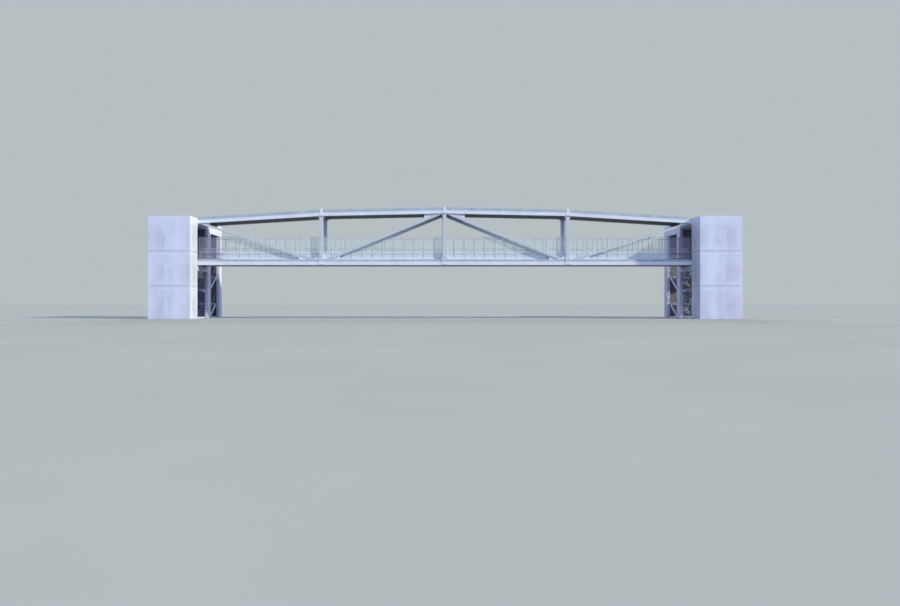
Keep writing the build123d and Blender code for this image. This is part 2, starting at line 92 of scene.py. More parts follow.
# How far from its middle a joint between lifts, and the dirt round it, start to fade and are gone, in
# joint widths
JOINT_FADES, SEEP_FADES = (0.3, 0.9), (0.8, 3.4)

# How far the band of fines lies from a joint, and how far it spreads to either side, in metres
FINES_AWAY, FINES_SPREAD = 0.12, 0.09

# A tread's strip: how far it lies behind the tread's edge and stops short of its ends, its ribs, and how
# high its root, its grooves and its ridges are over the tread's top
NOSING_SETBACK, NOSING_MARGIN = 0.006, 0.03
NOSING_RIBS, RIB_SHARE = 4, 0.62
NOSING_ROOT, NOSING_GROOVE, NOSING_RIDGE = -0.001, 0.0006, 0.0018

# The picture's width, and how far its middle lies right of and above its perspective's centre, in pixels
PICTURE_WIDTH, MIDDLE_SHIFT = 900, (20, 1)
SENSOR_WIDTH = 36
CLIP_NEAR, CLIP_FAR = 0.1, 2000
FLOOR_RADIUS, FLOOR_DROP = 900, 0.001

# The lamps: where each shines from, its tint, and how many degrees wide it is. The light from all round
# has only a tint.
KEY_FROM, KEY_TINT, KEY_SPREAD = (0.80, -0.335, 0.50), (1.0, 0.95, 0.72), 2.5
BACK_FROM, BACK_TINT, BACK_SPREAD = (0.05, 0.90, 0.42), (0.92, 0.95, 1.0), 30
SOFT_TINT = (0.60, 0.71, 1.0)


def colour_prop(name, description, default):
    """A colour that the user may change."""
    return FloatVectorProperty(
        name=name, description=description, subtype="COLOR",
        size=3, min=0, max=1, default=default,
    )


def length_prop(name, description, default):
    """A length in metres that the user may change."""
    return FloatProperty(
        name=name, description=description, unit="LENGTH", subtype="DISTANCE",
        min=0, precision=4, default=default,
    )


def share_prop(name, description, default):
    """A share between nothing and all."""
    return FloatProperty(
        name=name, description=description, subtype="FACTOR",
        min=0, max=1, default=default,
    )


def strength_prop(name, description, default):
    """The strength of a light."""
    return FloatProperty(name=name, description=description, min=0, default=default)


class TowerSettings(bpy.types.PropertyGroup):
    concrete: colour_prop("Concrete", "Colour of clean fair-faced concrete", (0.66, 0.70, 0.91))
    stained: colour_prop("Stained concrete", "Colour of the rain stains", (0.44, 0.47, 0.62))
    # Painted shade: a darker, less blue colour multiplied over the towers' sides.
    side_shade: colour_prop("Side tint", "What dust leaves of the sides' colour", (0.90, 0.89, 0.83))
    joint: colour_prop("Joint", "Colour in the joints between lifts", (0.40, 0.43, 0.56))
    # Painted shade for the inner faces of the towers' walls.
    inside_shade: colour_prop("Interior", "Colour of the walls' inner faces", (0.19, 0.175, 0.205))
    lower_joint: length_prop("Lower joint", "Height of the lower lift joint", 1.65)
    upper_joint: length_prop("Upper joint", "Height of the upper lift joint", 3.41)
    joint_width: length_prop("Joint width", "Width of a lift joint", 0.026)
    stains: share_prop("Stains", "Strength of the rain stains", 0.5)
    width: length_prop("Tower width", "Width of a tower along the bridge", 2.125)
    wall: length_prop("Wall thickness", "Thickness of the towers' walls", 0.15)


class SteelSettings(bpy.types.PropertyGroup):
    chord_paint: colour_prop("Chord paint", "Colour of the paint on the chords", (0.76, 0.81, 0.95))
    web_paint: colour_prop("Web paint", "Colour of the paint on the other steel", (0.57, 0.63, 0.73))
    # Painted shade, bluer and darker, for the paint on faces that lean up.
    upward_shade: colour_prop("Weathered paint", "Colour of the paint that faces up", (0.33, 0.40, 0.53))
    grime: colour_prop("Grime", "Colour of the dirt that runs down the paint", (0.30, 0.31, 0.36))
    # Painted shade for the painted steel's undersides.
    shaded: colour_prop("Underside", "Colour of the dirty undersides", (0.09, 0.10, 0.13))
    # Painted shade for the canopy's underside.
    soffit: colour_prop("Canopy soffit", "Colour of the canopy's underside", (0.024, 0.021, 0.021))
    canopy: colour_prop("Canopy", "Colour of the canopy's top", (0.34, 0.36, 0.40))
    rubber: colour_prop("Bearing rubber", "Colour of the bearing pads", (0.03, 0.03, 0.03))
    rubber_dust: colour_prop("Rubber dust", "Colour of the dust on the bearing pads", (0.12, 0.12, 0.12))


class WalkwaySettings(bpy.types.PropertyGroup):
    surface: colour_prop("Walkway surface", "Colour of the walkway's surface", (0.24, 0.25, 0.28))
    glass: colour_prop("Glass", "Colour of the glass in the screens", (0.85, 0.95, 1.0))
    end_glass: colour_prop("End glass", "Colour of the glass in the last bays", (0.74, 0.72, 1.0))
    glass_cover: share_prop("Glass cover", "How much the glass hides of what is behind it", 0.12)
    panel: colour_prop("Low panel", "Colour of the low panels", (0.76, 0.84, 0.93))
    end_panel: colour_prop("End panel", "Colour of the low panels in the last bays", (0.66, 0.64, 0.93))
    panel_cover: share_prop("Panel cover", "How much the low panels hide of what is behind them", 0.46)
    post: colour_prop("Screen post", "Colour of the screens' posts", (0.60, 0.69, 0.77))
    screen_rail: colour_prop("Screen rail", "Colour of the screens' rails", (0.70, 0.78, 0.90))
    rail: colour_prop("Handrail", "Colour of the brushed handrails", (0.62, 0.64, 0.68))
    # Painted shade: the guards' colour is darkened for the shade inside the towers.
    guard: colour_prop("Stair guard", "Colour of the galvanised stair guards", (0.22, 0.23, 0.26))
    bead: length_prop("Glazing bead", "Width of the bead round each pane", 0.008)
    bead_colour: colour_prop("Bead colour", "Colour of the glazing beads", (0.62, 0.71, 0.79))


class StairSettings(bpy.types.PropertyGroup):
    tread: colour_prop("Tread", "Colour of the concrete treads", (0.48, 0.49, 0.56))
    nosing: colour_prop("Nosing strip", "Colour of the strips on the treads", (0.08, 0.08, 0.09))
    nosing_width: length_prop("Nosing strip width", "Width of the strips on the treads", 0.022)


class StageSettings(bpy.types.PropertyGroup):
    floor: colour_prop("Floor", "Colour of the floor", (0.325, 0.345, 0.325))
    bounce: colour_prop("Floor bounce", "Colour that lights the object from below", (0.16, 0.17, 0.18))
    backdrop: colour_prop("Backdrop", "Colour behind the object", (0.47, 0.52, 0.54))
    key: strength_prop("Key light", "Strength of the key light", 3.8)
    back: strength_prop("Back light", "Strength of the light from behind", 1.6)
    soft: strength_prop("Soft light", "Strength of the light from all round", 0.95)
    lens: FloatProperty(name="Lens", description="Focal length", unit="CAMERA", min=1, default=28.8)
    eye: FloatVectorProperty(
        name="Eye", description="Where the camera stands", subtype="TRANSLATION", unit="LENGTH",
        size=3, default=(-0.75, -38.75, 0.75),
    )


def settings(name):
    return getattr(bpy.context.scene, "bridge_" + name)


def shade(colour, factor):
    return tuple(min(1, part * factor) for part in colour[:3])


class Surface:
    """A material under construction: a Principled shader, and short calls for the nodes behind it."""

    def __init__(self, name, colour, roughness, metallic=0.0, shine=0.5):
        self.material = bpy.data.materials.new(name)
        self.material.use_nodes = True
        self.tree = self.material.node_tree
        self.shader = self.tree.nodes["Principled BSDF"]
        self.shader.inputs["Base Color"].default_value = (*colour, 1)
        self.shader.inputs["Roughness"].default_value = roughness
        self.shader.inputs["Metallic"].default_value = metallic
        self.shader.inputs["Specular IOR Level"].default_value = shine
        self.place = self.tree.nodes.new("ShaderNodeTexCoord").outputs["Object"]

    def node(self, kind, inputs=(), **values):
        made = self.tree.nodes.new("ShaderNode" + kind)
        for name, value in values.items():
            setattr(made, name, value)
        for socket, value in dict(inputs).items():
            if isinstance(value, bpy.types.NodeSocket):
                self.tree.links.new(value, made.inputs[socket])
            else:
                made.inputs[socket].default_value = value
        return made

    def stretched(self, scale, place=None):
        """The place with each axis scaled."""
        return self.node("Mapping", {"Vector": place or self.place, "Scale": scale}).outputs[0]

    def noise(self, scale, detail=4.0, roughness=0.55, place=None):
        """Soft noise around one half. Its scale is in cells to the metre."""
        place = place or self.place
        inputs = {"Vector": place, "Scale": scale, "Detail": detail, "Roughness": roughness}
        return self.node("TexNoise", inputs).outputs["Fac"]

    def runs(self, scale, detail=4, place=None):
        """Noise drawn out along an axis by a scale that is smaller there."""
        return self.noise(1.0, detail, 0.6, self.stretched(scale, place))

    def cells(self, scale):
        """The distance to the nearest of many scattered points."""
        return self.node("TexVoronoi", {"Vector": self.place, "Scale": scale}).outputs["Distance"]

    def axis(self, letter):
        """The place along one axis, in metres."""
        return self.node("SeparateXYZ", {"Vector": self.place}).outputs[letter]

    def facing(self, letter):
        """How far the surface faces along an axis of the object."""
        normal = self.node("NewGeometry").outputs["Normal"]
        return self.node("SeparateXYZ", {"Vector": normal}).outputs[letter]

    def maths(self, operation, *values, clamp=False):
        inputs = dict(enumerate(values))
        return self.node("Math", inputs, operation=operation, use_clamp=clamp).outputs[0]

    def unsigned(self, value):
        return self.maths("ABSOLUTE", value)

    def apart(self, value, centre):
        """How far a value is from a centre, on either side."""
        return self.unsigned(self.maths("SUBTRACT", value, centre))

    def faces(self, letter):
        """1 where the surface faces along an axis, either way, and 0 where it faces elsewhere."""
        return self.graded(self.unsigned(self.facing(letter)), 0.4, 0.6)

    def product(self, first, *others):
        for other in others:
            first = self.maths("MULTIPLY", first, other)
        return first

    def graded(self, value, low, high, start=0.0, end=1.0):
        """A smooth step from start to end as a value passes from low to high."""
        inputs = {"Value": value, "From Min": low, "From Max": high, "To Min": start, "To Max": end}
        return self.node("MapRange", inputs, interpolation_type="SMOOTHSTEP").outputs["Result"]

    def between(self, share, first, second):
        """A number that goes from the first to the second by a share."""
        difference = self.maths("SUBTRACT", second, first)
        return self.maths("ADD", first, self.product(difference, share))

    def blend(self, share, first, second, mode="MIX"):
        """Two colours mixed by a share."""
        mix = self.tree.nodes.new("ShaderNodeMix")
        mix.data_type, mix.blend_type = "RGBA", mode
        for socket, value in ((0, share), (6, first), (7, second)):
            if isinstance(value, bpy.types.NodeSocket):
                self.tree.links.new(value, mix.inputs[socket])
            elif socket:
                mix.inputs[socket].default_value = (*value[:3], 1)
            else:
                mix.inputs[socket].default_value = value
        return mix.outputs[2]

    def mottled(self, share, colour, darker, lighter):
        """A colour that goes from a darker to a lighter shade of itself by a share."""
        return self.blend(share, shade(colour, darker), shade(colour, lighter))

    def drive(self, socket, value):
        """Feeds one of the shader's sockets."""
        self.tree.links.new(value, self.shader.inputs[socket])

    def so_far(self, socket):
        """What feeds one of the shader's sockets already."""
        return self.shader.inputs[socket].links[0].from_socket

    def colour(self, value):
        self.drive("Base Color", value)

    def roughness(self, value):
        self.drive("Roughness", value)

    def cover(self, value):
        self.drive("Alpha", value)

    def bump(self, *layers, over=None):
        """Layers of (height, distance in metres, strength), one on the other."""
        for height, distance, strength in layers:
            inputs = {"Height": height, "Distance": distance, "Strength": strength}
            if over:
                inputs["Normal"] = over
            over = self.node("Bump", inputs).outputs["Normal"]
        self.drive("Normal", over)


def finish_nodes(surface, names):
    """Gives CAD nodes a finish."""
    for name in names:
        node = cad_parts[name]
        node.data.materials.clear()
        node.data.materials.append(surface.material)


def solid_boxes(name):
    """The lowest and highest corners of each separate solid in a CAD node, in one fixed order."""
    copy = bmesh.new()
    copy.from_mesh(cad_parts[name].data)
    bmesh.ops.remove_doubles(copy, verts=copy.verts, dist=1e-5)
    waiting, boxes = set(copy.verts), []
    while waiting:
        start = waiting.pop()
        found, edge = [start], [start]
        while edge:
            for link in edge.pop().link_edges:
                for vertex in link.verts:
                    if vertex in waiting:
                        waiting.discard(vertex)
                        found.append(vertex)
                        edge.append(vertex)
        spans = [[vertex.co[axis] for vertex in found] for axis in range(3)]
        boxes.append([Vector([pick(span) for span in spans]) for pick in (min, max)])
    copy.free()
    return sorted(boxes, key=lambda box: tuple(box[0]))


def keep(name, solid, surface):
    """A new piece on the bridge, in the object's own frame."""
    bmesh.ops.recalc_face_normals(solid, faces=solid.faces)
    mesh = bpy.data.meshes.new(name)
    solid.to_mesh(mesh)
    solid.free()
    mesh.materials.append(surface.material)
    piece = bpy.data.objects.new(name, mesh)
    bpy.context.scene.collection.objects.link(piece)
    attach(piece, "root")
    return piece


def cast_concrete(name, clean, stained, grain=1.0):
    """Fair-faced concrete: soft changes of tone, fine grain and small blowholes."""
    surface = Surface(name, clean, roughness=0.8, shine=0.3)
    broad = surface.graded(surface.noise(0.9, 6, 0.6), 0.35, 0.68)
    tone = surface.mottled(broad, clean, 0.93, 1.06)
    patches = surface.graded(surface.noise(3.4, 5, 0.65), 0.52, 0.72, 0, 0.35)
    tone = surface.blend(patches, tone, shade(clean, 0.86))
    speckle = surface.noise(46, 3, 0.7)
    tone = surface.blend(surface.graded(speckle, 0.55, 0.8, 0, 0.28 * grain), tone, stained)
    holes = surface.graded(surface.cells(15), 0.035, 0.075, 1, 0)
    holes = surface.product(holes, surface.graded(surface.noise(5.5, 2), 0.5, 0.6))
    tone = surface.blend(surface.product(holes, 0.6), tone, shade(stained, 0.6))
    surface.roughness(surface.graded(surface.noise(7, 4), 0.3, 0.7, 0.7, 0.9))
    waves = surface.noise(8, 4)
    surface.bump((speckle, 0.0012, 0.5 * grain), (waves, 0.004, 0.25), (holes, -0.004, 0.8))
    return surface, tone


def rain_stains(surface, tone, stained, strength, place):
    """Stains that run down a face, stronger in some columns than in others."""
    broad = surface.graded(surface.runs((5.5, 5.5, 0.32), 5, place), 0.5, 0.74)
    fine = surface.graded(surface.runs((19, 19, 0.7), 4, place), 0.62, 0.8, 0, 0.35)
    columns = surface.noise(1.0, 2, 0.5, surface.stretched((1.1, 1.1, 0.15), place))
    upright = surface.graded(surface.unsigned(surface.facing("Z")), 0.3, 0.6, 1, 0)
    share = surface.product(broad, surface.graded(columns, 0.4, 0.62))
    share = surface.product(surface.maths("ADD", share, fine), upright)
    return surface.blend(surface.maths("MULTIPLY", share, strength, clamp=True), tone, stained)


def wall_distances(surface, look):
    """How far a place on a wall is from its tower's outer and inner faces and from its nearer end."""
    inward = surface.maths("SUBTRACT", surface.unsigned(surface.axis("X")), CAD_HIGH.x)
    outer = surface.unsigned(inward)
    inner = surface.unsigned(surface.maths("ADD", inward, look.width))
    ends = surface.maths("SUBTRACT", CAD_HIGH.y, surface.unsigned(surface.axis("Y")))
    return outer, inner, ends


def formwork_marks(surface, tone, look, along):
    """The same forms cast each lift, so their stains and columns repeat from lift to lift."""
    clean, stained = tuple(look.concrete), tuple(look.stained)
    lift = look.upper_joint - look.lower_joint
    above = surface.maths("SUBTRACT", surface.axis("Z"), look.lower_joint)
    into = surface.maths("FRACT", surface.maths("DIVIDE", above, lift))
    repeated = {"X": surface.axis("X"), "Y": surface.axis("Y"), "Z": surface.product(into, lift)}
    on_forms = surface.node("CombineXYZ", repeated).outputs[0]
    tone = rain_stains(surface, tone, stained, 0.55 * look.stains, on_forms)

    # The columns wander a little. The stained ones are strongest a third of the way up each lift.
    wander = surface.runs((1.6, 1.6, 1.3))
    along = surface.maths("ADD", along, surface.graded(wander, 0.3, 0.7, -0.045, 0.045))
    sagging = surface.graded(surface.apart(into, 0.36), 0.05, 0.42, 1, 0.3)
    patchy = surface.graded(surface.noise(2.3, 4, 0.6), 0.35, 0.62, 0.4, 1)
    for centre, half, strength in STAINED_COLUMNS:
        column = surface.graded(surface.apart(along, centre), 0, half, strength, 0)
        tone = surface.blend(surface.product(column, sagging), tone, stained)
    for centre, half, strength, paler in CLEAN_COLUMNS:
        column = surface.graded(surface.apart(along, centre), 0, half, strength, 0)
        tone = surface.blend(surface.product(column, patchy), tone, shade(clean, paler))
    return tone


def lift_joints(surface, tone, look, reach):
    """The joints between lifts, which fade out near the corners. Dirt has spread round them, with a
    paler band of fines above and below."""
    height, width = surface.axis("Z"), look.joint_width
    levels = (look.lower_joint, look.upper_joint)
    off = surface.maths("MINIMUM", *(surface.apart(height, level) for level in levels))
    fade = surface.graded(reach, 0.02, 0.14)
    broken = surface.graded(surface.noise(5, 3), 0.3, 0.6, 0.6, 1)
    joints, seeps = (
        surface.product(surface.graded(off, start * width, gone * width, 1, 0), fade, broken)
        for start, gone in (JOINT_FADES, SEEP_FADES)
    )
    fines = surface.graded(surface.apart(off, FINES_AWAY), 0, FINES_SPREAD, 0.4, 0)
    tone = surface.blend(fines, tone, shade(look.concrete, 1.12))
    tone = surface.blend(surface.product(seeps, 0.46), tone, look.stained)
    return surface.blend(surface.product(joints, 0.2), tone, look.joint), joints


def foot_and_top(surface, tone, look):
    """A few splashes at the foot, and a top washed clean by the rain, with drips under its edge."""
    height = surface.axis("Z")
    splashes = surface.maths("ADD", height, surface.noise(2.4, 4))
    tone = surface.blend(surface.graded(splashes, 0.45, 0.75, 0.18, 0), tone, look.stained)
    washed = surface.graded(height, TOWER_TOP - 0.65, TOWER_TOP - 0.05, 0, 0.55)
    tone = surface.blend(washed, tone, shade(look.concrete, 1.08))
    drips = surface.graded(surface.runs((13, 13, 0.5)), 0.6, 0.76, 0, 0.25)
    drips = surface.product(drips, surface.graded(height, TOWER_TOP - 0.45, TOWER_TOP + 0.2))
    return surface.blend(drips, tone, look.stained)


def shaded_inside(surface, tone, look, outer, inner, ends):
    """Inside, a wall's thickness from the outer faces, the walls carry painted shade: a dark, patchy
    colour.
    """
    margin = look.wall * 0.97
    inside = surface.graded(surface.maths("MINIMUM", outer, inner), margin - SHARP, margin)
    inside = surface.product(inside, surface.graded(ends, margin - SHARP, margin))
    inside_patches = surface.graded(surface.noise(1.4, 5, 0.6), 0.35, 0.65)
    return surface.blend(inside, tone, surface.mottled(inside_patches, look.inside_shade, 0.85, 1.25))


class BRIDGE_OT_walls(bpy.types.Operator):
    """Cast concrete on the towers' walls, with the joints between its three lifts"""

    bl_idname = "bridge.walls"
    bl_label = "Tower walls"

    def execute(self, context):
        look = settings("towers")
        surface, tone = cast_concrete("fair_faced_concrete", tuple(look.concrete), tuple(look.stained))
        outer, inner, ends = wall_distances(surface, look)
        front = surface.faces("Y")
        along = surface.maths("DIVIDE", surface.between(front, ends, outer), look.width)
        reach = surface.between(front, ends, surface.maths("MINIMUM", outer, inner))
        tone = formwork_marks(surface, tone, look, along)
        tone, joints = lift_joints(surface, tone, look, reach)
        # Painted shade: the faces along the bridge are multiplied by the darker, less blue side colour.
        tone = surface.blend(surface.faces("X"), tone, look.side_shade, "MULTIPLY")
        tone = foot_and_top(surface, tone, look)
        surface.colour(shaded_inside(surface, tone, look, outer, inner, ends))
        surface.bump((joints, -0.006, 0.4), over=surface.so_far("Normal"))
        walls = ("front_wall", "rear_wall", "inner_wall", "outer_wall")
        finish_nodes(surface, [f"{side}_{wall}" for side in TOWERS for wall in walls])
        return {"FINISHED"}


class BRIDGE_OT_slabs(bpy.types.Operator):
    """Plain cast concrete on the towers' roofs, floors, landings and bearing beams"""

    bl_idname = "bridge.slabs"
    bl_label = "Tower slabs"

    def execute(self, context):
        look = settings("towers")
        clean, stained = shade(look.concrete, 0.86), tuple(look.stained)
        surface, tone = cast_concrete("slab_concrete", clean, stained, grain=1.4)
        upward = surface.graded(surface.facing("Z"), 0.5, 0.9, 0, 0.5)
        worn = surface.product(upward, surface.graded(surface.noise(1.6, 5, 0.6), 0.35, 0.65))
        surface.colour(surface.blend(worn, tone, stained))
        slabs = ("roof_slab", "floor_slabs", "bearing_beam", "stair_landings")
        finish_nodes(surface, [f"{side}_{slab}" for side in TOWERS for slab in slabs])
        return {"FINISHED"}


def bridge_paint(name, paint, look, upward_shade_share=1.0):
    """White paint on steel, with painted shade, bluer and patchy, where it faces up, and dark painted
    shade underneath.
    """
    surface = Surface(name, tuple(paint), roughness=0.4, shine=0.4)
    broad = surface.graded(surface.noise(1.3, 5, 0.6), 0.35, 0.7)
    tone = surface.mottled(broad, paint, 0.95, 1.04)
    # Painted shade: faces that lean up turn bluer and darker, in patches.
    leaning = surface.graded(surface.facing("Z"), 0.04, 0.14)
    uneven = surface.graded(surface.noise(2.2, 4), 0.25, 0.7, 0.75 * upward_shade_share, upward_shade_share)
    tone = surface.blend(surface.product(leaning, uneven), tone, look.upward_shade)
    streaks = surface.graded(surface.runs((9, 9, 0.6)), 0.6, 0.8, 0, 0.3)
    tone = surface.blend(streaks, tone, look.grime)
    # Painted shade: faces that look down are darkened, in patches.
    under = surface.graded(surface.facing("Z"), -0.9, -0.4, 0.85, 0)
    under = surface.product(under, surface.graded(surface.noise(3, 5), 0.3, 0.6, 0.7, 1))
    surface.colour(surface.blend(under, tone, look.shaded))
    surface.roughness(surface.graded(surface.noise(12, 4), 0.3, 0.7, 0.3, 0.5))
    surface.bump((surface.noise(160, 2), 0.0004, 0.4), (surface.noise(2.5, 2), 0.003, 0.2))
    return surface


def collar_paint(look):
    """The chords' paint, with little painted shade where it faces up, but for a band of painted shade
    where the collars cover the bottom chord's leaning face."""
    surface = bridge_paint("collar_paint", look.chord_paint, look, upward_shade_share=0.25)
    low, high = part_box("front_bottom_chord")
    height, leaning = surface.axis("Z"), low.z + CHORD_LEANS * (high.z - low.z)
    # Painted shade: a band over the bottom chord's leaning face, as on the chords.
    band = surface.graded(height, leaning - 0.01, leaning + 0.01)
    band = surface.product(band, surface.graded(height, high.z, high.z + 0.02, 0.62, 0))
    surface.colour(surface.blend(band, surface.so_far("Base Color"), look.upward_shade))
    return surface


def canopy_sheet(look):
    """Sheet with a top worn by the weather, and near-black painted shade on its soffit."""
    surface = Surface("canopy_sheet", tuple(look.canopy), roughness=0.55, shine=0.3)
    patches = surface.graded(surface.noise(1.5, 5, 0.6), 0.35, 0.65)
    top = surface.mottled(patches, look.canopy, 0.9, 1.08)
    soffit = surface.mottled(patches, look.soffit, 0.93, 1.07)
    # Painted shade: faces that look down take the soffit's near-black colour.
    surface.colour(surface.blend(surface.graded(surface.facing("Z"), 0.2, 0.6), soffit, top))
    surface.roughness(surface.graded(surface.noise(8, 4), 0.3, 0.7, 0.5, 0.7))
    surface.bump((surface.noise(120, 2), 0.0005, 0.4))
    return surface


def bearing_rubber(look):
    """Layered rubber with dust on it."""
    surface = Surface("bearing_rubber", tuple(look.rubber), roughness=0.75, shine=0.3)
    dust = surface.graded(surface.noise(30, 4), 0.4, 0.7, 0, 0.3)
    surface.colour(surface.blend(dust, look.rubber, look.rubber_dust))
    wave = surface.node("TexWave", {"Vector": surface.place, "Scale": 12.0}, bands_direction="Z")
    surface.bump((wave.outputs["Fac"], 0.002, 0.6), (surface.noise(90, 3), 0.0006, 0.4))
    return surface


class BRIDGE_OT_steelwork(bpy.types.Operator):
    """White paint on the steel, with painted shade where it faces up and down, sheet on the canopy with
    painted shade on its soffit, and rubber on the bearings
    """

    bl_idname = "bridge.steelwork"
    bl_label = "Steelwork"

    def execute(self, context):
        look = settings("steel")
        chords = [f"{truss}_{chord}_chord" for truss in TRUSSES for chord in ("top", "bottom")]
        finish_nodes(bridge_paint("chord_paint", look.chord_paint, look), chords + ["gussets"])
        finish_nodes(collar_paint(look), ["node_collars"])
        names = [f"{truss}_{member}" for truss in TRUSSES for member in ("verticals", "diagonals")]
        names += [f"{side}_stair_stringers" for side in TOWERS]
        names += ["end_ties", "portal_struts", "floor_beams"]
        finish_nodes(bridge_paint("web_paint", look.web_paint, look), names)
        finish_nodes(canopy_sheet(look), ["canopy"])
        finish_nodes(bearing_rubber(look), ["bearings"])
        return {"FINISHED"}


def walkway_surface(look):
    """A gritty surface, worn paler along its middle."""
    surface = Surface("walkway_surface", tuple(look.surface), roughness=0.85, shine=0.25)
    grit = surface.noise(140, 3, 0.7)
    tone = surface.mottled(surface.graded(grit, 0.4, 0.65), look.surface, 0.8, 1.3)
    trodden = surface.graded(surface.apart(surface.axis("Y"), WALKWAY_LINE), 0.15, 0.75, 0.4, 0)
    trodden = surface.product(trodden, surface.graded(surface.noise(1.2, 4), 0.3, 0.7, 0.5, 1))
    surface.colour(surface.blend(trodden, tone, shade(look.surface, 1.7)))
    surface.bump((grit, 0.0015, 0.7))
    return surface


def brushed_rail(look):
    """Steel brushed along the handrails."""
    surface = Surface("brushed_rail", tuple(look.rail), roughness=0.3, metallic=1.0)
    brushing = surface.noise(1.0, 3, 0.5, surface.stretched((4, 160, 160)))
    surface.colour(surface.mottled(surface.graded(brushing, 0.35, 0.65), look.rail, 0.88, 1.08))
    surface.roughness(surface.graded(brushing, 0.3, 0.7, 0.24, 0.42))
    surface.bump((brushing, 0.0003, 0.3))
    return surface


def galvanised_guard(look):
    """Dull galvanised steel with its spangle, its colour darkened as painted shade for the towers'
    insides.
    """
    surface = Surface("galvanised_guard", tuple(look.guard), roughness=0.6, shine=0.3)
    spangle = surface.graded(surface.cells(120), 0.1, 0.7)
    surface.colour(surface.mottled(spangle, look.guard, 0.85, 1.15))
    surface.roughness(surface.graded(surface.noise(20, 3), 0.3, 0.7, 0.5, 0.7))
    surface.bump((surface.noise(200, 2), 0.0003, 0.4))
    return surface


class BRIDGE_OT_walkway(bpy.types.Operator):
    """The walkway's worn surface, brushed steel on its handrails, and the stairs' galvanised guards"""

    bl_idname = "bridge.walkway"
    bl_label = "Walkway"

    def execute(self, context):
        look = settings("walkway")
        finish_nodes(walkway_surface(look), ["deck_slab"])
        finish_nodes(brushed_rail(look), ["walkway_handrails"])
        finish_nodes(galvanised_guard(look), [f"{side}_stair_handrails" for side in TOWERS])
        return {"FINISHED"}


def last_bays(surface):
    """How far a place on the screens is into their last bays: 0 along the span, 1 beside a tower."""
    starts, complete = PANELS_HIGH.x - CHANGE_STARTS, PANELS_HIGH.x - CHANGE_COMPLETE
    return surface.graded(surface.unsigned(surface.axis("X")), starts, complete)


def rear_side(surface):
    """0 on the front screens and 1 on the rear ones, which stand in the canopy's shade."""
    return surface.graded(surface.axis("Y"), WALKWAY_LINE - 0.05, WALKWAY_LINE + 0.05)


def screen_glass(look):
    """Clear glass under a thin film of dirt, thicker near its foot and in runs."""
    surface = Surface("screen_glass", tuple(look.glass), roughness=0.08, shine=0.6)
    film = surface.graded(surface.noise(1.4, 4), 0.3, 0.7)
    tone = surface.mottled(film, look.glass, 0.92, 1.08)
    ending = last_bays(surface)
    surface.colour(surface.blend(ending, tone, look.end_glass))
    splashed = PANES_LOW.z + 0.3 * (PANES_HIGH.z - PANES_LOW.z)
    foot = surface.graded(surface.axis("Z"), PANES_LOW.z, splashed, 0.10, 0)
    runs = surface.runs((10, 10, 0.8))
    cover = surface.maths("ADD", look.glass_cover, foot)
    cover = surface.maths("ADD", cover, surface.graded(runs, 0.55, 0.8, 0, 0.04))
    surface.cover(surface.product(cover, surface.between(ending, 1.0, END_GLASS)))
    surface.roughness(surface.graded(runs, 0.4, 0.8, 0.05, 0.2))
    return surface


def low_panel_glass(look):
    """Frosted sheet, dusty at its foot and clearer in the last bays."""
    surface = Surface("low_panel_glass", tuple(look.panel), roughness=0.45, shine=0.5)
    frost = surface.noise(60, 3, 0.6)
    tone = surface.mottled(surface.graded(frost, 0.35, 0.65), look.panel, 0.95, 1.05)
    ending = last_bays(surface)
    surface.colour(surface.blend(ending, tone, look.end_panel))
    dust = surface.graded(surface.axis("Z"), PANELS_LOW.z, PANELS_HIGH.z, 0.14, 0)
    cover = surface.maths("ADD", look.panel_cover, dust)
    surface.cover(surface.product(cover, surface.between(ending, 1.0, END_PANEL)))
    surface.bump((frost, 0.0004, 0.3))
    return surface


def screen_metal(look):
    """Painted metal: posts darker than the rails between them, the rear posts paler as painted light,
    and both dull in the last bays.
    """
    surface = Surface("screen_metal", tuple(look.post), roughness=0.42, shine=0.4)
    height = surface.axis("Z")
    below = surface.graded(height, PANELS_LOW.z - SHARP, PANELS_LOW.z + SHARP, 1, 0)
    over = surface.graded(height, PANES_HIGH.z - SHARP, PANES_HIGH.z + SHARP)
    middle, half = (PANELS_HIGH.z + PANES_LOW.z) / 2, (PANES_LOW.z - PANELS_HIGH.z) / 2
    mid_rail = surface.graded(surface.apart(height, middle), half - SHARP, half + SHARP, 1, 0)
    rails = surface.maths("MAXIMUM", surface.maths("MAXIMUM", below, over), mid_rail)
    wear = surface.graded(surface.noise(9, 5, 0.6), 0.4, 0.7)
    posts = surface.mottled(wear, look.post, 0.93, 1.07)
    # Painted light: the rear screens' posts are made paler against the canopy's shade.
    posts = surface.blend(rear_side(surface), posts, shade(look.post, REAR_POST_LIGHT))
    tone = surface.blend(rails, posts, look.screen_rail)
    surface.colour(surface.blend(last_bays(surface), tone, shade(look.post, END_METAL)))
    surface.bump((surface.noise(180, 2), 0.0003, 0.4))
    return surface


class BRIDGE_OT_screens(bpy.types.Operator):
    """Glass, low panels and metal on the side screens"""

    bl_idname = "bridge.screens"
    bl_label = "Side screens"

    def execute(self, context):
        look = settings("walkway")
        finishes = {
            "screen_glass": screen_glass,
            "low_panels": low_panel_glass,
            "screen_frame": screen_metal,
        }
        for part, finish in finishes.items():
            finish_nodes(finish(look), [f"{truss}_{part}" for truss in TRUSSES])
        return {"FINISHED"}


